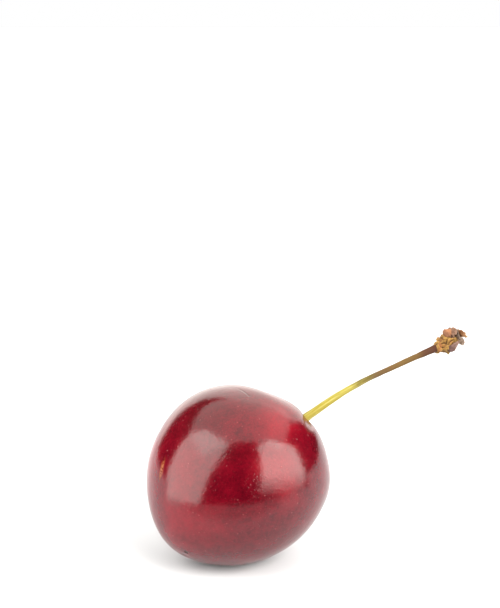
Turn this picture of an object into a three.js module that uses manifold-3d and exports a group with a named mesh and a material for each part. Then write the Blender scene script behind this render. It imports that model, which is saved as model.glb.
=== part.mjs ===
// A sweet cherry on its stem, lying on its cheek. Millimetres and degrees, +Z up.
// The origin is the middle of the small flat spot that the fruit rests on.

import * as THREE from 'three';
import { mergeVertices } from 'three/addons/utils/BufferGeometryUtils.js';
import Module from 'manifold-3d';

const wasm = await Module();
wasm.setup();

const { degToRad, radToDeg } = THREE.MathUtils;

// ---------- driving dimensions ----------

const fruit = {
  radius: 13.15, // from the middle of the flesh to the skin, before the swellings below
  centre: [0.73, 0.47, 12.7], // the middle of the flesh, above the rest spot
  rise: 34, // how far the stem end points up from the surface
  heading: 36, // the way the stem end points, turned from +X
  spin: -39, // turn of the fruit about its own stem axis
  segmentsAround: 60,
  segmentsAlong: 44,
};

// Swellings and hollows, as a share of the radius. Angles are from the blossom end.
const tipSwelling = { size: 0.1, spread: 27.5 };
const waistHollow = { size: -0.021, at: 75, spread: 25 };
const shoulder = { size: 0.012, lift: 0.031, liftSide: 55, at: 126, spread: 13.5 };
const flatShoulder = { size: -0.053, at: 152, spread: 16.5, side: 195 };
const fullerSide = { size: -0.008 };
const stemCavity = { depth: 0.3, spread: 14.5, steepness: 3, lean: 4 };
const blossomScar = { depth: 0.009, spread: 3.2, lean: 10 };

const stem = {
  // Points from the middle of the flesh: out of the cavity, over the shoulder, to the end.
  path: [[7.1, 4.5, 4.95], [10.1, 6.8, 6.3], [16.4, 11.5, 8.9], [23.9, 16.4, 10.9], [29.4, 19.8, 12.2]],
  // Radius at a share of the length: foot, straight part, thin part, flared end.
  radii: [[0, 0.8], [0.03, 0.8], [0.07, 0.63], [0.35, 0.48], [0.6, 0.35], [0.8, 0.36], [1, 0.5]],
  steps: 30,
  sides: 12,
};

const knob = { length: 2.9, width: 2.3, along: 1.78, lumpHeight: 0.09, segments: 20 };

// Dried bud scales. Each has its place past the end of the stem (along it, to its far side,
// up from it), then is turned `around` the stem's line, opened outward by `splay` and
// turned flat by `roll`.
const scales = [
  { at: [2.1, -0.4, 1.6], around: 15, splay: 10, roll: 10, length: 2.0, width: 1.7, colour: 0xb0704a },
  { at: [2.5, -1.65, -0.25], around: 98, splay: 5, roll: 34, length: 2.1, width: 1.5, colour: 0x7a4038 },
  { at: [4.0, -0.3, 0.1], around: 150, splay: 80, roll: 0, length: 2.4, width: 1.9, colour: 0x7d675c },
  { at: [3.5, -0.5, 1.5], around: 25, splay: 50, roll: 0, length: 1.5, width: 1.4, colour: 0x9a6f5c },
  { at: [4.8, -0.95, 0.45], around: 165, splay: 60, roll: 0, length: 2.0, width: 0.95, colour: 0xd08a4a },
  { at: [2.3, 1.5, -0.7], around: -115, splay: 12, roll: -10, length: 2.1, width: 1.6, colour: 0x6b4436 },
];
const scaleThickness = 0.26;
const scaleCup = 0.3; // how far the edges of a scale bend inward

// ---------- helpers ----------

// A bell that is 1 at offset 0 and fades to nothing past its spread, faster if it is steep.
const bell = (offset, spread, steepness = 2) => Math.exp(-(Math.abs(offset / spread) ** steepness));

// One closed body: positions only, shared corners merged, collapsed triangles dropped.
function closedBody(geometry) {
  const bare = new THREE.BufferGeometry();
  bare.setAttribute('position', geometry.getAttribute('position'));
  bare.setIndex(geometry.getIndex());
  const merged = mergeVertices(bare, 1e-4);
  const corners = merged.getIndex().array;
  const kept = [];
  for (let i = 0; i < corners.length; i += 3) {
    const [a, b, c] = corners.slice(i, i + 3);
    if (a !== b && b !== c && c !== a) {
      kept.push(a, b, c);
    }
  }
  merged.setIndex(kept);
  return merged;
}

// Moves every corner of a geometry to the place that a rule gives it.
function reshape(geometry, rule) {
  const positions = geometry.getAttribute('position');
  const corner = new THREE.Vector3();
  for (let i = 0; i < positions.count; i += 1) {
    corner.fromBufferAttribute(positions, i);
    rule(corner);
    positions.setXYZ(i, corner.x, corner.y, corner.z);
  }
  return geometry;
}

function material(name, colour, roughness) {
  return new THREE.MeshStandardMaterial({ name, color: colour, roughness, metalness: 0 });
}

function namedMesh(name, geometry, finish) {
  geometry.computeVertexNormals();
  const mesh = new THREE.Mesh(geometry, finish);
  mesh.name = name;
  return mesh;
}

// ---------- fruit ----------

// A direction that leans from an end of the stem axis toward the fuller side.
function leaningPole(end, lean) {
  return new THREE.Vector3(Math.sin(degToRad(lean)), 0, end * Math.cos(degToRad(lean)));
}

// Distance from the middle of the flesh to the skin along a unit direction (+Z is the stem end).
function skinDistance(direction) {
  const fromBlossom = radToDeg(direction.angleTo(new THREE.Vector3(0, 0, -1)));
  const side = Math.atan2(direction.y, direction.x);
  const girth = Math.sin(degToRad(fromBlossom));
  const fromCavity = radToDeg(direction.angleTo(leaningPole(1, stemCavity.lean)));
  const fromScar = radToDeg(direction.angleTo(leaningPole(-1, blossomScar.lean)));

  const lift = shoulder.lift * Math.cos(side - degToRad(shoulder.liftSide)) * Math.sqrt(girth);
  const towardFlat = Math.max(0, Math.cos(side - degToRad(flatShoulder.side)));
  const share = 1
    + tipSwelling.size * bell(fromBlossom, tipSwelling.spread)
    + waistHollow.size * bell(fromBlossom - waistHollow.at, waistHollow.spread)
    + (shoulder.size + lift) * bell(fromBlossom - shoulder.at, shoulder.spread)
    + flatShoulder.size * bell(fromBlossom - flatShoulder.at, flatShoulder.spread) * towardFlat ** 2
    + fullerSide.size * Math.cos(side) * girth ** 2
    - stemCavity.depth * bell(fromCavity, stemCavity.spread, stemCavity.steepness)
    - blossomScar.depth * bell(fromScar, blossomScar.spread);
  return fruit.radius * share;
}

// Cuts away what lies below the surface, which leaves the flat rest spot.
function cutFlatSpot(geometry) {
  const below = new THREE.BoxGeometry(40, 40, 10).translate(0, 0, -5);
  const [flesh, slab] = [geometry, below].map((source) => {
    const body = closedBody(source);
    return new wasm.Manifold(new wasm.Mesh({
      numProp: 3,
      vertProperties: new Float32Array(body.getAttribute('position').array),
      triVerts: new Uint32Array(body.getIndex().array),
    }));
  });
  const cut = flesh.subtract(slab).getMesh();
  const result = new THREE.BufferGeometry();
  result.setAttribute('position', new THREE.BufferAttribute(cut.vertProperties, 3));
  result.setIndex(new THREE.BufferAttribute(cut.triVerts, 1));
  return result;
}

function makeFruit() {
  const skin = new THREE.SphereGeometry(1, fruit.segmentsAround, fruit.segmentsAlong);
  skin.rotateX(Math.PI / 2);
  reshape(skin, (corner) => corner.normalize().multiplyScalar(skinDistance(corner)));
  skin.rotateZ(degToRad(fruit.spin));
  skin.rotateY(degToRad(90 - fruit.rise));
  skin.rotateZ(degToRad(fruit.heading));
  skin.translate(...fruit.centre);
  return namedMesh('cherry_fruit', cutFlatSpot(skin), material('skin', 0x7a0a1c, 0.22));
}

// ---------- stem ----------

const stemCurve = new THREE.CatmullRomCurve3(
  stem.path.map((point) => new THREE.Vector3(...point).add(new THREE.Vector3(...fruit.centre))),
);

// Axes that follow the stem: x along it, z up from it, y to its far side.
function stemAxes(share) {
  const along = stemCurve.getTangentAt(share);
  const across = new THREE.Vector3(0, 0, 1).cross(along).normalize();
  const up = along.clone().cross(across);
  return { place: stemCurve.getPointAt(share), along, across, up };
}

// A tapered rod turned about a straight axis, then laid along the stem's curve.
function makeStem() {
  const knots = stem.radii.map(([share, radius]) => new THREE.Vector2(share, radius));
  const radiusAt = new THREE.SplineCurve(knots);
  const outline = radiusAt.getPoints(stem.steps).map((point) => new THREE.Vector2(point.y, point.x));
  const profile = [new THREE.Vector2(0, 0), ...outline, new THREE.Vector2(0, 1)];
  const rod = new THREE.LatheGeometry(profile, stem.sides);
  reshape(rod, (corner) => {
    const { place, across, up } = stemAxes(THREE.MathUtils.clamp(corner.y, 0, 1));
    const { x, z } = corner;
    corner.copy(place).addScaledVector(across, z).addScaledVector(up, x);
  });
  return namedMesh('stem', closedBody(rod), material('stem_skin', 0xb9a94a, 0.5));
}

// ---------- torn end: spur wood and dried bud scales ----------

// A lumpy piece of spur wood just past the end of the stem.
function makeKnob() {
  const lump = new THREE.SphereGeometry(1, knob.segments, knob.segments - 4);
  reshape(lump, (corner) => {
    const { x, y, z } = corner;
    const lumps = Math.sin(5 * x + 1) * Math.sin(4 * y + 2) + Math.sin(6 * z) * Math.cos(4 * x);
    corner.multiplyScalar(1 + knob.lumpHeight * lumps);
    corner.multiply(new THREE.Vector3(knob.length / 2, knob.width / 2, knob.width / 2));
  });
  const mesh = namedMesh('spur_knob', closedBody(lump), material('spur_wood', 0xa8762e, 0.85));
  mesh.position.x = knob.along;
  return mesh;
}

// A thin cupped scale: widest near its base, with its edges bent inward.
function makeScale(scale, index) {
  const flake = new THREE.SphereGeometry(1, 16, 10).rotateZ(-Math.PI / 2);
  reshape(flake, (corner) => {
    const narrowing = 1 - 0.3 * corner.x;
    const bend = scaleCup * (corner.y ** 2 + 0.4 * corner.x ** 2);
    corner.x *= scale.length / 2;
    corner.y *= (narrowing * scale.width) / 2;
    corner.z = (corner.z * scaleThickness) / 2 - bend;
  });
  const finish = material('dry_scale', scale.colour, 0.8);
  const mesh = namedMesh(`bud_scale_${index + 1}`, closedBody(flake), finish);
  mesh.rotation.set(0, -degToRad(scale.splay), degToRad(scale.roll), 'YXZ');
  const turned = new THREE.Group();
  turned.position.set(...scale.at);
  turned.rotation.x = degToRad(scale.around);
  turned.add(mesh);
  return turned;
}

function makeTornEnd() {
  const tornEnd = new THREE.Group();
  const { place, along, across, up } = stemAxes(1);
  const turn = new THREE.Matrix4().makeBasis(along, across, up);
  tornEnd.quaternion.setFromRotationMatrix(turn);
  tornEnd.position.copy(place);
  tornEnd.add(makeKnob(), ...scales.map(makeScale));
  return tornEnd;
}

// ---------- the cherry ----------

const cherry = new THREE.Group();
cherry.add(makeFruit(), makeStem(), makeTornEnd());

export default cherry;
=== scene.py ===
import bpy
import math
import numpy as np
from mathutils import Euler, Matrix, Vector, noise


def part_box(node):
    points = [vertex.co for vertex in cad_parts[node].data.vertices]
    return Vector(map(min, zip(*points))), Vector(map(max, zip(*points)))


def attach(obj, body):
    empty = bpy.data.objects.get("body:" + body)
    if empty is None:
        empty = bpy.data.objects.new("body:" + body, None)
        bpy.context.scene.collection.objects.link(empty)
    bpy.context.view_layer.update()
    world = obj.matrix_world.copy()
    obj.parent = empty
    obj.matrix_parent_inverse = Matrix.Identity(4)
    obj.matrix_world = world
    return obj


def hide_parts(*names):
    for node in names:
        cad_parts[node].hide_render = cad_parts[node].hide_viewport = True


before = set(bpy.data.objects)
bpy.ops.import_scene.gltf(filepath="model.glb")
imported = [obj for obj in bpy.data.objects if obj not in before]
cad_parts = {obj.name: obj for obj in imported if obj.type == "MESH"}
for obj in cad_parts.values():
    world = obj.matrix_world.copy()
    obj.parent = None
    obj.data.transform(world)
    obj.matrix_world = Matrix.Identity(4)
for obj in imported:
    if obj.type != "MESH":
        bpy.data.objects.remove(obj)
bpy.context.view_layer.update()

mm = 0.001  # the pieces are worked out in millimetres and stored in metres


# small helpers that every piece uses

def bell(offset, spread, steepness=2):  # 1 at offset 0, fading past its spread
    return np.exp(-np.abs(offset / spread) ** steepness)


def smooth(value, low, high):  # 0 below low, 1 above high, easing between
    share = np.clip((value - low) / (high - low), 0, 1)
    return share * share * (3 - 2 * share)


def heading(azimuth, elevation):  # azimuth 0 is +Y, 90 is +X
    around, up = math.radians(azimuth), math.radians(elevation)
    return Vector((math.sin(around) * math.cos(up), math.cos(around) * math.cos(up), math.sin(up)))


def sampleNoise(points, scale, seed):  # one smooth random number for each point
    shift = Vector((seed * 17.3, seed * 5.1, seed * 9.7))
    return np.array([noise.noise(Vector(point) * scale + shift) for point in points])


def meshObject(name, points, faces, attributes=None):  # points in millimetres
    mesh = bpy.data.meshes.new(name)
    mesh.from_pydata((np.asarray(points) * mm).tolist(), [], faces)
    for key, values in (attributes or {}).items():
        kind, field = ("FLOAT", "value") if values.ndim == 1 else ("FLOAT_VECTOR", "vector")
        layer = mesh.attributes.new(key, kind, "POINT")
        layer.data.foreach_set(field, values.astype(np.float32).ravel())
    mesh.shade_smooth()
    mesh.update()
    piece = bpy.data.objects.new(name, mesh)
    bpy.context.scene.collection.objects.link(piece)
    return piece


def ballFaces(rows, columns):  # faces of rows of points between two poles
    first, last = 0, 1 + (rows - 1) * columns
    faces = []
    for column in range(columns):
        after = (column + 1) % columns
        faces.append((first, 1 + column, 1 + after))
        for row in range(rows - 2):
            start = 1 + row * columns
            faces.append((start + column, start + columns + column, start + columns + after, start + after))
        start = 1 + (rows - 2) * columns
        faces.append((start + column, last, start + after))
    return faces


# shader maths written as sums

class Wire:  # a node socket that can stand in an expression
    def __init__(self, paint, socket):
        self.paint = paint
        self.socket = socket

    def __add__(self, other):
        return self.paint.calc("ADD", self, other)

    def __sub__(self, other):
        return self.paint.calc("SUBTRACT", self, other)

    def __rsub__(self, other):
        return self.paint.calc("SUBTRACT", other, self)

    def __mul__(self, other):
        return self.paint.calc("MULTIPLY", self, other)

    __radd__ = __add__
    __rmul__ = __mul__


class Paint:  # one material and the nodes in it
    def __init__(self, name):
        self.material = bpy.data.materials.new(name)
        self.material.use_nodes = True
        self.nodes = self.material.node_tree.nodes
        self.links = self.material.node_tree.links
        self.nodes.clear()

    def add(self, kind, settings=None, sockets=None, out=0):
        node = self.nodes.new(kind)
        for key, value in (settings or {}).items():
            if key == "stops":  # a colour ramp: (place, colour) pairs
                ramp = node.color_ramp
                while len(ramp.elements) < len(value):
                    ramp.elements.new(0.5)
                for element, (place, colour) in zip(ramp.elements, value):
                    element.position = place
                    element.color = (*colour, 1)
            else:
                setattr(node, key, value)
        for key, value in (sockets or {}).items():
            socket = node.inputs[key]
            if isinstance(value, Wire):
                self.links.new(value.socket, socket)
            elif socket.type == "RGBA" and len(value) == 3:
                socket.default_value = (*value, 1)
            else:
                socket.default_value = value
        return Wire(self, node.outputs[out])

    def calc(self, operation, first, second=0):
        return self.add("ShaderNodeMath", {"operation": operation}, {0: first, 1: second})

    def mix(self, share, first, second):  # colours
        return self.add("ShaderNodeMix", {"data_type": "RGBA"}, {0: share, 6: first, 7: second}, 2)

    def ease(self, value, low, high):  # 0 at low, 1 at high
        settings = {"interpolation_type": "SMOOTHSTEP"}
        return self.add("ShaderNodeMapRange", settings, {"Value": value, "From Min": low, "From Max": high})

    def place(self):  # the point on the piece, in metres
        return self.add("ShaderNodeTexCoord", out="Object")

    def stored(self, name, out="Fac"):
        return self.add("ShaderNodeAttribute", {"attribute_name": name}, out=out)

    def cloud(self, where, scale, detail=3, roughness=0.5):
        sockets = {"Vector": where, "Scale": scale, "Detail": detail, "Roughness": roughness}
        return self.add("ShaderNodeTexNoise", None, sockets)

    def bumpOf(self, height, strength, depth):  # depth in metres
        return self.add("ShaderNodeBump", None, {"Strength": strength, "Distance": depth, "Height": height})

    def distance(self, where, point):
        return self.add("ShaderNodeVectorMath", {"operation": "DISTANCE"}, {0: where, 1: point}, "Value")

    def finish(self, facts, **varying):  # constants on the shader's own sockets, links on top
        sockets = {**facts, **{key.replace("_", " "): value for key, value in varying.items()}}
        shader = self.add("ShaderNodeBsdfPrincipled", None, sockets)
        end = self.nodes.new("ShaderNodeOutputMaterial")
        self.links.new(shader.socket, end.inputs["Surface"])
        return self.material


# camera and studio

view = {
    "elevation": 22,  # of the camera, seen from the fruit
    "tilt": 19.24,  # how far the camera looks down
    "distance": 0.51,  # metres, from the middle of the fruit
    "sideways": 0.00173,  # metres to the right
    "lens": 209,  # millimetres, on a sensor 36 wide
    "sensor": 36,
    "near": 0.01,
    "far": 10,
}

# Each panel hangs square to a line that leaves the fruit (facing: azimuth and elevation), and
# its centre is moved along its own sides by shift. A cut takes off what lies to the left of
# a line across the panel, fading over its third number. Seen from behind, (0, 0) is the
# panel's lower left corner and (1, 1) its upper right. Lengths are in metres.
studio = {
    "left softbox": {"facing": (-135.5, 18.3), "roll": -11.3, "distance": 0.6, "shift": (-0.339, -0.06),
                     "size": (0.858, 1.08), "radiance": 5.0, "cuts": [((0.0, 0.86), (0.4, 1.0), 0.03)]},
    "right softbox": {"facing": (120.4, -0.5), "roll": -10.5, "distance": 0.6, "shift": (-0.018, 0.27),
                      "size": (0.744, 0.912), "radiance": 7.0,
                      "cuts": [((0.44, 1.0), (1.0, 0.73), 0.02), ((1.0, 0.17), (0.0, 0.17), 0.15)]},
    "overhead panel": {"facing": (180, 89.9), "roll": 8, "distance": 0.6, "shift": (0.03, 0.12),
                       "size": (1.5, 0.96), "radiance": 2.15, "cuts": [((0.0, 0.7), (0.24, 1.0), 0.03)]},
    "floor fill": {"facing": (140, 32), "roll": 0, "distance": 0.6, "shift": (0, 0), "size": (0.4, 0.4),
                   "radiance": 9, "cuts": [], "onlyFloor": True},  # thins the shadow on the front right
    "back panel": {"facing": (0, 0), "roll": 0, "distance": 0.6, "shift": (-0.09, 0.264),
                   "size": (1.38, 0.672), "radiance": 2.3,
                   "cuts": [((0.76, 0.6), (0.95, 0.05), 0.04), ((0.26, 0.24), (0.0, 1.0), 0.02)]},
}

room = {
    "warmWhite": (1.02, 1.0, 0.94),  # of the lights
    "dimGrey": 0.02,  # what the skin mirrors between the lights
    "floorWhite": (0.55, 0.563, 0.59),
    "frontPaintedShade": (0.3, 0.307, 0.32),  # painted shade: the floor's colour darkens toward its front edge, so the skin mirrors a dimmer floor there
    "paintedShadeFrom": -0.021,  # metres along Y
    "paintedShadeTo": -0.036,
    "floorFront": 62,  # millimetres
    "floorReach": 300,
    "rimCorners": 48,
    "floorFinish": {"Roughness": 0.9, "Specular IOR Level": 0.2},
}


def makeCamera(middle):
    data = bpy.data.cameras.new("camera")
    data.lens = view["lens"]
    data.sensor_width = view["sensor"]
    data.clip_start = view["near"]
    data.clip_end = view["far"]
    camera = bpy.data.objects.new("camera", data)
    camera.location = middle + heading(180, view["elevation"]) * view["distance"]
    camera.location.x += view["sideways"]
    camera.rotation_euler = (math.radians(90 - view["tilt"]), 0, 0)
    bpy.context.scene.collection.objects.link(camera)
    bpy.context.scene.camera = camera


def cutPanel(light, cuts):  # soft slanted edges on a rectangular light
    light.use_nodes = True
    nodes, links = light.node_tree.nodes, light.node_tree.links
    spot = nodes.new("ShaderNodeNewGeometry").outputs["Parametric"]
    strength = None
    for start, end, fade in cuts:
        along = Vector(end) - Vector(start)
        normal = Vector((along.y, -along.x)).normalized()  # points to the side that stays lit
        side = nodes.new("ShaderNodeVectorMath")
        side.operation = "DOT_PRODUCT"
        side.inputs[1].default_value = (normal.x, normal.y, 0)
        links.new(spot, side.inputs[0])
        edge = nodes.new("ShaderNodeMapRange")
        edge.inputs["From Min"].default_value = normal.dot(Vector(start)) - fade
        edge.inputs["From Max"].default_value = normal.dot(Vector(start)) + fade
        links.new(side.outputs["Value"], edge.inputs["Value"])
        if strength:
            both = nodes.new("ShaderNodeMath")
            both.operation = "MULTIPLY"
            links.new(strength, both.inputs[0])
            links.new(edge.outputs[0], both.inputs[1])
            strength = both.outputs[0]
        else:
            strength = edge.outputs[0]
    links.new(strength, nodes["Emission"].inputs["Strength"])


def hangPanel(name, facts, middle):
    light = bpy.data.lights.new(name, "AREA")
    light.shape = "RECTANGLE"
    light.size, light.size_y = facts["size"]
    light.color = room["warmWhite"]
    light.energy = facts["radiance"] * math.pi * light.size * light.size_y
    if facts["cuts"]:
        cutPanel(light, facts["cuts"])
    panel = bpy.data.objects.new(name, light)
    roll = Euler((0, 0, math.radians(facts["roll"]))).to_quaternion()
    turn = heading(*facts["facing"]).to_track_quat("Z", "Y") @ roll
    panel.location = middle + turn @ Vector((*facts["shift"], facts["distance"]))
    panel.rotation_euler = turn.to_euler()
    panel.visible_camera = False
    if facts.get("onlyFloor"):
        panel.visible_glossy = False
        panel.light_linking.receiver_collection = bpy.data.collections["floorOnly"]
    bpy.context.scene.collection.objects.link(panel)


def makeRoom():
    world = bpy.data.worlds.new("white room")
    world.use_nodes = True
    nodes, links = world.node_tree.nodes, world.node_tree.links
    nodes.clear()
    seen = nodes.new("ShaderNodeBackground")
    seen.inputs["Color"].default_value = (1, 1, 1, 1)
    unseen = nodes.new("ShaderNodeBackground")
    unseen.inputs["Color"].default_value = (room["dimGrey"], room["dimGrey"], room["dimGrey"], 1)
    path = nodes.new("ShaderNodeLightPath")
    chosen = nodes.new("ShaderNodeMixShader")
    end = nodes.new("ShaderNodeOutputWorld")
    links.new(path.outputs["Is Camera Ray"], chosen.inputs[0])
    links.new(unseen.outputs[0], chosen.inputs[1])
    links.new(seen.outputs[0], chosen.inputs[2])
    links.new(chosen.outputs[0], end.inputs["Surface"])
    bpy.context.scene.world = world


def makeFloor():  # a wide white sheet with a round front edge
    front, reach = room["floorFront"], room["floorReach"]
    angles = np.linspace(0, -math.pi, room["rimCorners"])
    rim = [(front * math.cos(angle), front * math.sin(angle), 0) for angle in angles]
    back = [(-reach, 0, 0), (-reach, reach, 0), (reach, reach, 0), (reach, 0, 0)]
    floor = meshObject("floor", back + rim, [tuple(reversed(range(len(back + rim))))])
    floor.data.shade_flat()
    paint = Paint("white floor")
    # painted shade: the floor's colour greys toward its front edge
    along = paint.add("ShaderNodeSeparateXYZ", None, {0: paint.place()}, "Y")
    white = paint.ease(along, room["paintedShadeTo"], room["paintedShadeFrom"])
    colour = paint.mix(white, room["frontPaintedShade"], room["floorWhite"])
    floor.data.materials.append(paint.finish(room["floorFinish"], Base_Color=colour))
    bpy.data.collections.new("floorOnly").objects.link(floor)  # what the fill light reaches


# fruit

fruit = {
    "middle": Vector((0.73, 0.47, 12.7)),  # millimetres, above the rest spot
    "radius": 13.15,
    "rise": 34,  # how far the stem end points up
    "heading": 36,  # the way the stem end points, turned from +X
    "spin": -39,  # turn about the stem axis
    "rows": 220,
    "columns": 320,
    # swellings and hollows: a share of the radius, and degrees from the blossom end
    "tip": {"size": 0.1, "spread": 27.5},
    "waist": {"size": -0.021, "at": 75, "spread": 25},
    "shoulder": {"size": 0.012, "lift": 0.031, "side": 55, "at": 126, "spread": 13.5},
    "flat": {"size": -0.053, "at": 152, "spread": 16.5, "side": 195},
    "fuller": -0.008,
    "cavity": {"depth": 0.3, "spread": 14.5, "steepness": 3, "lean": 4},
    "scarDimple": {"depth": 0.009, "spread": 3.2, "lean": 10},
    "scar": {"side": -35.5, "fromBlossom": 11.6},
    # the suture starts and stops over these degrees from the stem end, the fold stops at its "until"
    "suture": {"side": 150, "wander": 5, "width": 2.6, "depth": 0.006, "from": (12, 30), "to": (150, 172)},
    "fold": {"side": -73, "width": 5, "depth": 0.02, "until": 36, "fade": 9},
    "ripple": {"size": 0.001, "scale": 0.16, "seed": 3},
    "softSpot": 0.1,  # rounding of the edge of the rest spot
}

skin = {
    "deep": (0.058, 0.0006, 0.004),
    "ripe": (0.126, 0.0012, 0.0072),
    # blush is redder skin, partly real and partly painted light; shade is darker skin, partly painted shade
    "blush": (0.26, 0.0036, 0.0125),
    "shade": (0.055, 0.0027, 0.0038),
    "speck": (0.42, 0.06, 0.06),
    "brownMark": (0.28, 0.07, 0.012),
    # cavity: painted shade for the stem cavity, also used for the suture's dark line
    "cavity": (0.07, 0.003, 0.004),
    "scar": (0.02, 0.006, 0.003),
    "gloss": {"IOR": 1.46, "Specular IOR Level": 0.5},
    "roughness": 0.11,
    # clouds of colour: size (more is finer), detail and roughness, then how much each counts
    "patches": (90, 3, 0.55),
    "mottle": (520, 4, 0.6),
    "fine": (2600, 3, 0.7),
    "streaks": (16, 4, 0.7),
    "shares": {"patches": 0.17, "mottle": 0.3, "fine": 0.37, "streaks": 0.16},
    "ripeFrom": 0.36,
    "ripeTo": 0.62,
    # fine dots: how many to a metre, their size in a cell, and the weakest that shows
    "smallDots": (3000, 0.3, 0.3),
    "largeDots": (1300, 0.17, 0.45),
    "raisedDots": (2300, 0.5, 0),
    "dotColour": 0.42,
    # redder and darker areas: degrees from the stem end, side, spread, strength; those on negative sides face
    # the camera and are painted light and painted shade, those on the far side are random tone
    "blushesAndPaintedLight": [(78, -74, 18, 0.75), (60, -94, 18, 0.65), (152, -88, 20, 0.4), (126, -122, 16, 0.3),
                (80, 100, 30, 0.5), (120, 170, 25, 0.4), (55, 20, 20, 0.3)],
    "shades": [(80, -146, 24, 0.7), (60, -122, 16, 0.5), (102, -22, 20, 0.4), (96, -104, 13, 0.3),
               (70, 40, 24, 0.5), (135, 70, 28, 0.5), (112, 140, 16, 0.4)],
    "bumpy": [(104, -76, 9, 1), (90, -60, 7, 0.4), (75, 120, 9, 0.7)],  # where raised dots cluster
    # a thin wrinkle across the shoulder, a groove with painted shade along it: where it bends, its sides and
    # its fade, in degrees
    "wrinkle": {"fromStem": 54.3, "middle": -139, "bend": 0.011, "start": -148, "full": -134,
                "end": -127, "endFade": 1, "core": 0.2, "width": 1.0},
    # a short orange-brown streak, its length and width in millimetres
    "graze": {"fromStem": 130.5, "side": -146.6, "length": 2.8, "width": 0.75},
    "scarEdge": (0.0002, 0.0005),  # metres
    "bump": (0.5, 0.00015),  # strength, depth in metres
}


def fruitTurn():  # from the stem axis upright to lying on the cheek
    return (Matrix.Rotation(math.radians(fruit["heading"]), 3, "Z")
            @ Matrix.Rotation(math.radians(90 - fruit["rise"]), 3, "Y")
            @ Matrix.Rotation(math.radians(fruit["spin"]), 3, "Z"))


def leaning(end, lean):  # a direction leaning from one end of the axis to the fuller side
    return np.array([math.sin(math.radians(lean)), 0, end * math.cos(math.radians(lean))])


def degreesFrom(directions, pole):
    return np.degrees(np.arccos(np.clip(directions @ pole, -1, 1)))


def skinShare(directions):  # how far the skin is from the middle, as a share of the radius
    tip, waist, shoulder, flat = fruit["tip"], fruit["waist"], fruit["shoulder"], fruit["flat"]
    cavity, dimple = fruit["cavity"], fruit["scarDimple"]
    fromBlossom = degreesFrom(directions, np.array([0, 0, -1]))
    side = np.arctan2(directions[:, 1], directions[:, 0])
    girth = np.sin(np.radians(fromBlossom))
    lift = shoulder["lift"] * np.cos(side - math.radians(shoulder["side"])) * np.sqrt(girth)
    towardFlat = np.clip(np.cos(side - math.radians(flat["side"])), 0, 1)
    share = 1 + tip["size"] * bell(fromBlossom, tip["spread"])
    share += waist["size"] * bell(fromBlossom - waist["at"], waist["spread"])
    share += (shoulder["size"] + lift) * bell(fromBlossom - shoulder["at"], shoulder["spread"])
    share += flat["size"] * bell(fromBlossom - flat["at"], flat["spread"]) * towardFlat ** 2
    share += fruit["fuller"] * np.cos(side) * girth ** 2
    fromCavity = degreesFrom(directions, leaning(1, cavity["lean"]))
    share -= cavity["depth"] * bell(fromCavity, cavity["spread"], cavity["steepness"])
    share -= dimple["depth"] * bell(degreesFrom(directions, leaning(-1, dimple["lean"])), dimple["spread"])
    return share


def sideGap(side, middle):  # degrees between two sides, the short way round
    return (side - middle + 180) % 360 - 180


def fineShape(directions):  # suture, fold beside the stem and faint ripples
    fromStem = degreesFrom(directions, np.array([0, 0, 1]))
    side = np.degrees(np.arctan2(directions[:, 1], directions[:, 0]))
    suture, fold = fruit["suture"], fruit["fold"]
    line = suture["side"] + suture["wander"] * np.sin(np.radians(fromStem * 2.3))
    girth = np.sin(np.radians(fromStem))
    along = smooth(fromStem, *suture["from"]) * (1 - smooth(fromStem, *suture["to"]))
    sutureMask = bell(sideGap(side, line) * girth, suture["width"]) * along
    foldMask = bell(sideGap(side, fold["side"]) * girth, fold["width"])
    foldMask *= 1 - smooth(fromStem, fold["until"] - fold["fade"], fold["until"] + fold["fade"])
    ripple = sampleNoise(directions * fruit["radius"], fruit["ripple"]["scale"], fruit["ripple"]["seed"])
    change = ripple * fruit["ripple"]["size"] - sutureMask * suture["depth"] - foldMask * fold["depth"]
    return change, sutureMask


def pointOnSkin(fromBlossom, side):  # millimetres, in the frame of the part
    polar, around = math.radians(fromBlossom), math.radians(side)
    direction = np.array([[math.sin(polar) * math.cos(around), math.sin(polar) * math.sin(around),
                           -math.cos(polar)]])
    reach = fruit["radius"] * skinShare(direction)[0]
    return fruitTurn() @ (Vector(direction[0]) * reach) + fruit["middle"]


def towards(fromStem, side):  # a direction on the fruit
    polar, around = math.radians(fromStem), math.radians(side)
    return np.array([math.sin(polar) * math.cos(around), math.sin(polar) * math.sin(around), math.cos(polar)])


def areaMask(directions, areas, wobble):  # soft irregular areas
    mask = np.zeros(len(directions))
    for fromStem, side, spread, strength in areas:
        distance = degreesFrom(directions, towards(fromStem, side)) + wobble
        mask = np.maximum(mask, strength * bell(np.maximum(distance, 0), spread, 2.5))
    return mask


def orangeStreakMask(directions, wobble):  # a short streak along the fruit
    facts = skin["graze"]
    middle = towards(facts["fromStem"], facts["side"])
    along = towards(facts["fromStem"] + 90, facts["side"])
    across = np.cross(middle, along)
    reach = fruit["radius"]
    run = (directions @ along) * reach * 2 / facts["length"]
    drift = (directions @ across) * reach * 2 / facts["width"] + wobble * 0.05
    return bell(np.hypot(run, drift), 1, 4) * (directions @ middle > 0)


def wrinkleMask(paint):
    facts = skin["wrinkle"]
    side = paint.stored("side")
    turned = side - facts["middle"]
    curve = turned * turned * facts["bend"] + facts["fromStem"]
    line = paint.calc("ABSOLUTE", paint.stored("fromStem") - curve)
    begins = paint.ease(side, facts["start"], facts["full"])
    stops = 1 - paint.ease(side, facts["end"] - facts["endFade"], facts["end"] + facts["endFade"])
    return (1 - paint.ease(line, facts["core"], facts["width"])) * (begins * stops)


def specks(paint, where, perMetre, size, lowest):  # fine dots, each with its own strength
    cells = {"Vector": where, "Scale": perMetre, "Randomness": 1}
    near = paint.add("ShaderNodeTexVoronoi", None, cells, "Distance")
    chance = paint.add("ShaderNodeTexVoronoi", None, cells, "Color")
    strength = paint.add("ShaderNodeSeparateColor", None, {0: chance}, 0)
    return (1 - paint.ease(near, size * 0.3, size)) * paint.ease(strength, lowest, 1)


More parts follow.
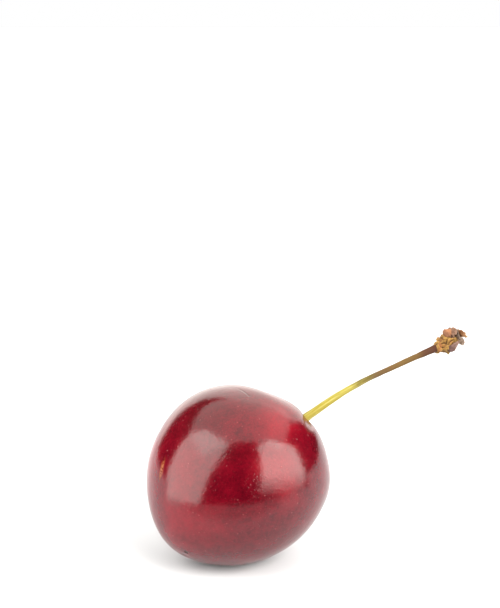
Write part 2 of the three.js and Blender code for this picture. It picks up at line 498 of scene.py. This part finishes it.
def fruitPaint():
    paint = Paint("cherry skin")
    where = paint.place()
    grain = paint.stored("grain", "Vector")
    mottle = paint.cloud(where, *skin["mottle"])
    fine = paint.cloud(where, *skin["fine"])
    shares = skin["shares"]
    mixed = paint.cloud(where, *skin["patches"]) * shares["patches"] + mottle * shares["mottle"]
    mixed = mixed + fine * shares["fine"] + paint.cloud(grain, *skin["streaks"]) * shares["streaks"]
    colour = paint.mix(paint.ease(mixed, skin["ripeFrom"], skin["ripeTo"]), skin["deep"], skin["ripe"])
    # painted light mixed with real blush: redder where the blush areas lie
    colour = paint.mix(paint.stored("blush") * (mixed * 2.2 - 0.15), colour, skin["blush"])
    # painted shade mixed with real darker tone: darker where the shade areas lie
    colour = paint.mix(paint.stored("shade") * (1.9 - mixed * 2), colour, skin["shade"])

    # lenticels, pale and tiny
    dots = specks(paint, where, *skin["smallDots"]) * 0.35 + specks(paint, where, *skin["largeDots"])
    colour = paint.mix(dots * skin["dotColour"], colour, skin["speck"])

    # painted shade in the stem cavity, the suture's dark line and the blossom scar
    colour = paint.mix(paint.stored("cavity") * 0.7, colour, skin["cavity"])
    colour = paint.mix(paint.stored("suture") * 0.45, colour, skin["cavity"])
    scarPoint = pointOnSkin(fruit["scar"]["fromBlossom"], fruit["scar"]["side"]) * mm
    fromScar = paint.distance(where, scarPoint) + (mottle - 0.5) * 0.0003
    scar = 1 - paint.ease(fromScar, *skin["scarEdge"])
    colour = paint.mix(scar, colour, skin["scar"])

    # the wrinkle's painted shade and a short orange-brown streak
    wrinkle = wrinkleMask(paint)
    # painted shade along the wrinkle's crease
    colour = paint.mix(wrinkle * 0.6, colour, skin["scar"])
    # a short orange-brown streak on the skin
    graze = paint.stored("graze") * paint.ease(fine, 0.35, 0.55)
    colour = paint.mix(graze, colour, skin["brownMark"])

    roughness = skin["roughness"] + mottle * 0.09 + dots * 0.1 + scar * 0.4 + graze * 0.2
    raised = specks(paint, where, *skin["raisedDots"]) * paint.stored("bumpy")
    height = dots * 0.3 + fine * 0.12 + mottle * 0.55 - scar * 1.5 + raised * 0.35 - wrinkle * 0.4
    bump = paint.bumpOf(height, *skin["bump"])
    return paint.finish(skin["gloss"], Base_Color=colour, Roughness=roughness, Normal=bump)


def makeFruit():
    rows, columns = fruit["rows"], fruit["columns"]
    polar = np.linspace(0, math.pi, rows + 1)[1:-1]
    around = np.linspace(0, 2 * math.pi, columns, endpoint=False)
    polarGrid, aroundGrid = [grid.ravel() for grid in np.meshgrid(polar, around, indexing="ij")]
    ring = np.sin(polarGrid)
    ringPoints = np.stack([ring * np.cos(aroundGrid), ring * np.sin(aroundGrid), np.cos(polarGrid)], 1)
    directions = np.vstack([[[0, 0, 1]], ringPoints, [[0, 0, -1]]])
    change, sutureMask = fineShape(directions)
    reach = fruit["radius"] * (skinShare(directions) + change)
    points = (directions * reach[:, None]) @ np.array(fruitTurn()).T + np.array(fruit["middle"])
    height, soft = points[:, 2], fruit["softSpot"]
    points[:, 2] = (height + np.sqrt(height ** 2 + soft ** 2)) / 2  # pressed flat where it rests
    stretch = directions / np.maximum(np.hypot(directions[:, 0], directions[:, 1]), 0.05)[:, None]
    fromStem = degreesFrom(directions, np.array([0, 0, 1]))
    wobble = sampleNoise(directions, 3.2, 5) * 11 + sampleNoise(directions, 8, 6) * 5
    attributes = {
        "grain": np.column_stack([stretch[:, 0], stretch[:, 1], fromStem / 90]),
        # painted shade: near the stem end, inside the cavity
        "cavity": bell(fromStem, 15),
        "suture": sutureMask,
        # the blush and shade areas: partly painted light and painted shade
        "blush": areaMask(directions, skin["blushesAndPaintedLight"], wobble),
        "shade": areaMask(directions, skin["shades"], wobble),
        "bumpy": areaMask(directions, skin["bumpy"], wobble * 0.4),
        "graze": orangeStreakMask(directions, wobble),
        "fromStem": fromStem,
        "side": np.degrees(np.arctan2(directions[:, 1], directions[:, 0])),
    }
    piece = meshObject("cherryFlesh", points, ballFaces(rows, columns), attributes)
    piece.data.materials.append(fruitPaint())
    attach(piece, "root")
    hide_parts("cherry_fruit")
    print("fruit made:", len(piece.data.polygons), "faces")


# stem

stem = {
    # from the middle of the flesh: the cavity floor, over the shoulder, out to the end
    "path": [(6.2, 3.8, 4.5), (10.1, 6.8, 6.3), (16.4, 11.5, 8.9), (23.9, 16.4, 10.9), (29.4, 19.8, 12.2)],
    # radius in millimetres at a share of the length
    "radii": [(0, 0.95), (0.06, 0.78), (0.14, 0.65), (0.4, 0.5), (0.58, 0.41), (0.8, 0.41),
              (0.92, 0.5), (1, 0.62)],
    "rings": 260,
    "sides": 48,
    "unevenness": 0.09,  # millimetres
    "colours": [(0.0, (0.14, 0.095, 0.012)), (0.14, (0.27, 0.21, 0.024)), (0.27, (0.3, 0.24, 0.026)),
                (0.46, (0.32, 0.27, 0.045)), (0.54, (0.19, 0.14, 0.024)), (0.59, (0.11, 0.066, 0.024)),
                (0.65, (0.115, 0.065, 0.024)), (0.77, (0.135, 0.078, 0.023)), (0.87, (0.12, 0.066, 0.019)),
                (0.92, (0.075, 0.029, 0.013)), (1.0, (0.058, 0.018, 0.01))],
    "paleEdge": (0.46, 0.41, 0.14),
    "oliveStreak": (0.11, 0.085, 0.012),
    "russet": (0.16, 0.06, 0.025),
    "yellowEnds": (0.54, 0.63),  # shares of the length
    "darkens": (0.44, 0.53),
    "clears": (0.58, 0.64),
    "bump": (0.7, 0.00012),  # strength, depth in metres
}


def stemLine():  # a smooth curve through the stem's points
    data = bpy.data.curves.new("stemLine", "CURVE")
    data.dimensions = "3D"
    spline = data.splines.new("BEZIER")
    spline.bezier_points.add(len(stem["path"]) - 1)
    for point, place in zip(spline.bezier_points, stem["path"]):
        point.co = (Vector(place) + fruit["middle"]) * mm
        point.handle_left_type = point.handle_right_type = "AUTO"
    spline.resolution_u = 24
    line = bpy.data.objects.new("stemLine", data)
    bpy.context.scene.collection.objects.link(line)
    return line


def stemPaint():
    paint = Paint("stem skin")
    where = paint.place()
    along = paint.stored("along")
    turn = paint.stored("round") * (2 * math.pi)
    lengthwise = {"X": paint.calc("COSINE", turn), "Y": paint.calc("SINE", turn), "Z": along * 2.2}
    grain = paint.add("ShaderNodeCombineXYZ", None, lengthwise)
    fibres = paint.cloud(grain, 5, 4, 0.65)
    ridges = paint.cloud(grain, 2.2, 2, 0.5)
    blotch = paint.cloud(where, 420, 4, 0.6)
    shifted = along + (blotch - 0.5) * 0.1 + (fibres - 0.5) * 0.07
    colour = paint.add("ShaderNodeValToRGB", {"stops": stem["colours"]}, {"Fac": shifted})
    yellow = 1 - paint.ease(along, *stem["yellowEnds"])
    colour = paint.mix(paint.ease(ridges, 0.52, 0.66) * yellow * 0.6, colour, stem["paleEdge"])
    colour = paint.mix(paint.ease(fibres, 0.55, 0.7) * 0.45, colour, stem["oliveStreak"])
    middle = paint.ease(along, *stem["darkens"]) * (1 - paint.ease(along, *stem["clears"]))
    colour = paint.mix(paint.ease(blotch, 0.42, 0.6) * middle * 0.7, colour, stem["oliveStreak"])
    colour = paint.mix(paint.ease(blotch, 0.56, 0.7) * (1 - yellow) * 0.6, colour, stem["russet"])
    roughness = 0.4 + blotch * 0.25 + (1 - yellow) * 0.2
    bump = paint.bumpOf(fibres + blotch * 0.5, *stem["bump"])
    return paint.finish({"Specular IOR Level": 0.2}, Base_Color=colour, Roughness=roughness, Normal=bump)


def stemTree(material):
    tree = bpy.data.node_groups.new("stemSkin", "GeometryNodeTree")
    face = tree.interface
    face.new_socket("Geometry", in_out="INPUT", socket_type="NodeSocketGeometry")
    sizes = {}
    for name, kind in (("Rings", "Int"), ("Sides", "Int"), ("Unevenness", "Float")):
        socket = face.new_socket(name, in_out="INPUT", socket_type="NodeSocket" + kind)
        sizes[name] = socket.identifier
    face.new_socket("Geometry", in_out="OUTPUT", socket_type="NodeSocketGeometry")

    def add(kind, settings=None, **sockets):
        node = tree.nodes.new(kind)
        for key, value in (settings or {}).items():
            setattr(node, key, value)
        for key, value in sockets.items():
            socket = node.inputs[key.replace("_", " ")]
            if isinstance(value, bpy.types.NodeSocket):
                tree.links.new(value, socket)
            else:
                socket.default_value = value
        return node

    start = add("NodeGroupInput").outputs
    resampled = add("GeometryNodeResampleCurve", Curve=start["Geometry"], Count=start["Rings"])
    share = add("GeometryNodeSplineParameter").outputs["Factor"]
    marked = add("GeometryNodeStoreNamedAttribute", Geometry=resampled.outputs[0], Name="along", Value=share)
    radius = add("ShaderNodeFloatCurve", Value=share)
    line = radius.mapping.curves[0]
    for place, size in stem["radii"][1:-1]:
        line.points.new(place, size)
    line.points[0].location = stem["radii"][0]
    line.points[-1].location = stem["radii"][-1]
    radius.mapping.update()
    profile = add("GeometryNodeCurvePrimitiveCircle", Resolution=start["Sides"], Radius=mm)
    around = add("GeometryNodeSplineParameter").outputs["Factor"]
    section = add("GeometryNodeStoreNamedAttribute", Geometry=profile.outputs[0], Name="round", Value=around)
    tube = add("GeometryNodeCurveToMesh", Curve=marked.outputs[0], Profile_Curve=section.outputs[0],
               Scale=radius.outputs[0], Fill_Caps=True)
    lumps = add("ShaderNodeTexNoise", Scale=420.0, Detail=3.0)
    centred = add("ShaderNodeMath", {"operation": "SUBTRACT"})
    centred.inputs[1].default_value = 0.5
    tree.links.new(lumps.outputs[0], centred.inputs[0])
    size = add("ShaderNodeMath", {"operation": "MULTIPLY"})
    tree.links.new(centred.outputs[0], size.inputs[0])
    tree.links.new(start["Unevenness"], size.inputs[1])
    push = add("ShaderNodeVectorMath", {"operation": "SCALE"}, Scale=size.outputs[0])
    tree.links.new(add("GeometryNodeInputNormal").outputs[0], push.inputs[0])
    moved = add("GeometryNodeSetPosition", Geometry=tube.outputs[0], Offset=push.outputs[0])
    smoothed = add("GeometryNodeSetShadeSmooth", Geometry=moved.outputs[0])
    real = add("GeometryNodeRealizeInstances", Geometry=smoothed.outputs[0])
    dressed = add("GeometryNodeSetMaterial", Geometry=real.outputs[0], Material=material)
    tree.links.new(dressed.outputs[0], add("NodeGroupOutput").inputs[0])
    return tree, sizes


def makeStem():
    line = stemLine()
    material = stemPaint()
    tree, sizes = stemTree(material)
    grow = line.modifiers.new("stemSkin", "NODES")
    grow.node_group = tree
    grow[sizes["Rings"]] = stem["rings"]
    grow[sizes["Sides"]] = stem["sides"]
    grow[sizes["Unevenness"]] = stem["unevenness"] * 2 * mm
    shaped = line.evaluated_get(bpy.context.evaluated_depsgraph_get())
    mesh = bpy.data.meshes.new_from_object(shaped, preserve_all_data_layers=True)
    line.modifiers.remove(grow)
    bpy.data.objects.remove(line)
    piece = bpy.data.objects.new("cherryStem", mesh)
    bpy.context.scene.collection.objects.link(piece)
    if not mesh.materials:
        mesh.materials.append(material)
    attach(piece, "root")
    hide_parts("stem")
    print("stem made:", len(mesh.polygons), "faces")


# torn end of the stem: spur wood and dried bud scales

knob = {
    "length": 4.75,  # millimetres
    "shift": 0.24,  # along the stem, so that a collar wraps its end
    # radius in millimetres at a share of the length: collar, lump, and the core that holds scales
    "profile": [(0, 0.45), (0.025, 0.68), (0.085, 0.82), (0.137, 0.84), (0.18, 0.76), (0.23, 1.02),
                (0.34, 1.32), (0.46, 1.4), (0.61, 1.25), (0.705, 0.95), (0.78, 0.62), (0.885, 0.48),
                (1, 0.22)],
    "rows": 150,
    "columns": 200,
    "lumps": 0.2,  # shares of the radius
    "folds": 0.13,
    "crumbs": 0.045,
    "waver": 0.25,  # millimetres, along the stem
    # painted shade and painted highlight: dark in the crevices, pale on the raised lumps
    "colours": [(0.0, (0.035, 0.014, 0.004)), (0.22, (0.13, 0.058, 0.013)), (0.5, (0.28, 0.145, 0.029)),
                (0.8, (0.37, 0.205, 0.05)), (1.0, (0.44, 0.3, 0.12))],
    "olive": (0.13, 0.1, 0.02),
    "rust": (0.3, 0.1, 0.03),
    "grit": (2200, 4, 0.65),
    "bump": (0.7, 0.0002),  # strength, depth in metres
}

# how each scale is turned and moved on its node, its size in millimetres and its two colours
budScales = {
    "bud_scale_1": {"around": 42, "splay": 10, "roll": 12, "shift": (0, 0, 0.35),
                    "length": 1.3, "width": 1.25, "tones": ((0.2, 0.077, 0.032), (0.36, 0.145, 0.058))},
    "bud_scale_2": {"around": 98, "splay": 5, "roll": 34, "shift": (-0.45, 0, 0.1),
                    "length": 1.95, "width": 1.25, "tones": ((0.1, 0.042, 0.034), (0.2, 0.11, 0.085))},
    "bud_scale_3": {"around": 150, "splay": 80, "roll": 0, "shift": (-0.2, -0.1, 0.1),
                    "length": 2.5, "width": 1.9, "tones": ((0.19, 0.13, 0.095), (0.36, 0.26, 0.2))},
    "bud_scale_4": {"around": 40, "splay": 40, "roll": 0, "shift": (-0.9, 0, 0.15),
                    "length": 1.7, "width": 1.6, "tones": ((0.09, 0.038, 0.02), (0.22, 0.115, 0.07))},
    "bud_scale_5": {"around": 165, "splay": 60, "roll": 0, "shift": (-0.4, 0.25, 0.3),
                    "length": 1.7, "width": 1.9, "tones": ((0.24, 0.095, 0.03), (0.56, 0.3, 0.13))},
    "bud_scale_6": {"around": -115, "splay": 12, "roll": -10, "shift": (0, 0, 0),
                    "length": 2.1, "width": 1.6, "tones": ((0.09, 0.045, 0.03), (0.18, 0.1, 0.07))},
}

flake = {
    "rows": 36,
    "columns": 28,
    "cup": 0.3,  # millimetres that the edges bend inward
    "ripple": 0.16,
    "thickness": 0.09,
    "ragged": 0.35,  # these three are shares of half the width or half the length
    "raggedEnds": 0.3,
    "narrowing": 0.25,
    "bump": (0.6, 0.00012),
}


def boxMiddle(node):
    low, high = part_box(node)
    return (low + high) / 2


def endAxes():  # along the stem's end, to its far side, and up
    path = [Vector(place) for place in stem["path"]]
    along = (path[-1] - path[-2]).normalized()
    across = Vector((0, 0, 1)).cross(along).normalized()
    return Matrix((along, across, along.cross(across))).transposed()


def knobPaint():
    paint = Paint("torn spur wood")
    where = paint.place()
    raised = paint.stored("raised")
    grit = paint.cloud(where, *knob["grit"])
    # painted shade in the crevices and painted highlight on the lumps, set by height
    height = raised * 0.8 + grit * 0.4 - 0.1
    colour = paint.add("ShaderNodeValToRGB", {"stops": knob["colours"]}, {"Fac": height})
    patches = paint.cloud(where, 800, 3)
    colour = paint.mix(paint.ease(patches, 0.54, 0.68) * 0.5, colour, knob["olive"])
    colour = paint.mix((1 - paint.ease(patches, 0.34, 0.44)) * 0.6, colour, knob["rust"])
    bump = paint.bumpOf(grit, *knob["bump"])
    return paint.finish({"Roughness": 0.8}, Base_Color=colour, Normal=bump)


def makeKnob():
    rows, columns = knob["rows"], knob["columns"]
    share = np.linspace(0, 1, rows + 1)[1:-1]
    angles = np.linspace(0, 2 * math.pi, columns, endpoint=False)
    places, sizes = zip(*knob["profile"])
    shareGrid, angleGrid = [grid.ravel() for grid in np.meshgrid(share, angles, indexing="ij")]
    radius = np.interp(shareGrid, places, sizes)
    length = knob["length"]
    ring = np.stack([(shareGrid - 0.5) * length, radius * np.cos(angleGrid), -radius * np.sin(angleGrid)], 1)
    points = np.vstack([[[-length / 2, 0, 0]], ring, [[length / 2, 0, 0]]])
    lumps = sampleNoise(points, 1.3, 1) + 0.5 * sampleNoise(points, 2.9, 2)
    folds = np.clip(np.abs(sampleNoise(points, 1.5, 4)) * 5 - 1, -1, 0.6)
    crumbs = np.clip(np.abs(sampleNoise(points, 3.4, 11)) * 5 - 1, -1, 1)
    raised = knob["lumps"] * lumps + knob["folds"] * folds + knob["crumbs"] * crumbs
    reach = 1 + raised * smooth(np.hypot(points[:, 1], points[:, 2]), 0.1, 0.7)
    points[:, 1:] *= reach[:, None]
    points[:, 0] += knob["waver"] * sampleNoise(points, 1.6, 7)
    points[:, 0] += knob["shift"]
    # how high each point stands, which sets the painted shade and highlight
    lightAndShadeByHeight = np.clip((raised + 0.22) / 0.5, 0, 1)
    points = points @ np.array(endAxes()).T + np.array(boxMiddle("spur_knob")) / mm
    piece = meshObject("spurKnob", points, ballFaces(rows, columns), {"raised": lightAndShadeByHeight})
    piece.data.materials.append(knobPaint())
    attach(piece, "root")
    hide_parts("spur_knob")
    print("spur knob made:", len(piece.data.polygons), "faces")


def budScalePaint(name, tones):
    paint = Paint(name + " skin")
    where = paint.place()
    along = paint.stored("along")
    veins = paint.cloud(paint.stored("veins", "Vector"), 5, 4, 0.6)
    stain = paint.cloud(where, 900, 3, 0.6)
    colour = paint.mix(paint.ease(along + (stain - 0.5) * 0.8, 0.1, 0.9), tones[0], tones[1])
    dark = tuple(part * 0.3 for part in tones[0])
    colour = paint.mix(paint.ease(veins, 0.5, 0.7) * 0.55, colour, dark)
    bump = paint.bumpOf(veins, *flake["bump"])
    return paint.finish({"Roughness": 0.7}, Base_Color=colour, Normal=bump)


def makeBudScale(node, facts, seed):  # u runs along the scale and v across it, -1 to 1
    rows, columns = flake["rows"], flake["columns"]
    spans = np.meshgrid(np.linspace(-1, 1, rows), np.linspace(-1, 1, columns), indexing="ij")
    u, v = [grid.ravel() for grid in spans]
    sideNoise = sampleNoise(np.stack([u * 2, np.sign(v), u * 0], 1), 1.7, seed)
    endNoise = sampleNoise(np.stack([np.sign(u), v * 2, v * 0], 1), 1.9, seed + 30)
    outline = np.sqrt(np.clip(1 - np.abs(u) ** 2.6, 0, 1)) * (1 - flake["narrowing"] * u)
    outline += flake["ragged"] * sideNoise * (1 - u ** 2)
    x = u * (1 + flake["raggedEnds"] * endNoise * (1 - v ** 2) * np.abs(u)) * facts["length"] / 2
    y = v * np.maximum(outline, 0.06) * facts["width"] / 2
    flat = np.stack([x, y, x * 0], 1)
    ripple = sampleNoise(flat, 1.4, seed + 60) * 2 + sampleNoise(flat, 3.5, seed + 90) * 0.6
    z = -flake["cup"] * (v ** 2 + 0.4 * u ** 2) + flake["ripple"] * ripple
    points = np.stack([x, y, z], 1)
    faces = []
    for row in range(rows - 1):
        for corner in range(row * columns, (row + 1) * columns - 1):
            faces.append((corner, corner + columns, corner + columns + 1, corner + 1))
    turn = (endAxes() @ Matrix.Rotation(math.radians(facts["around"]), 3, "X")
            @ Matrix.Rotation(-math.radians(facts["splay"]), 3, "Y")
            @ Matrix.Rotation(math.radians(facts["roll"]), 3, "Z"))
    points = points @ np.array(turn).T
    points += np.array(boxMiddle(node)) / mm - (points.min(0) + points.max(0)) / 2
    points += np.array(endAxes() @ Vector(facts["shift"]))
    attributes = {"along": (u + 1) / 2, "veins": np.stack([u * 0.35, v * 3, u * 0], 1)}
    piece = meshObject(f"budScale{seed + 1}", points, faces, attributes)
    thicken = piece.modifiers.new("thickness", "SOLIDIFY")
    thicken.thickness = flake["thickness"] * mm
    thicken.offset = 0
    piece.data.materials.append(budScalePaint(piece.name, facts["tones"]))
    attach(piece, "root")
    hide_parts(node)


makeCamera(fruit["middle"] * mm)
makeRoom()
makeFloor()
for name, facts in studio.items():
    hangPanel(name, facts, fruit["middle"] * mm)
bpy.context.scene.view_settings.view_transform = "Standard"
print("camera and studio ready")

makeFruit()
makeStem()
makeKnob()
for seed, (node, facts) in enumerate(budScales.items()):
    makeBudScale(node, facts, seed)
print("bud scales made:", len(budScales))
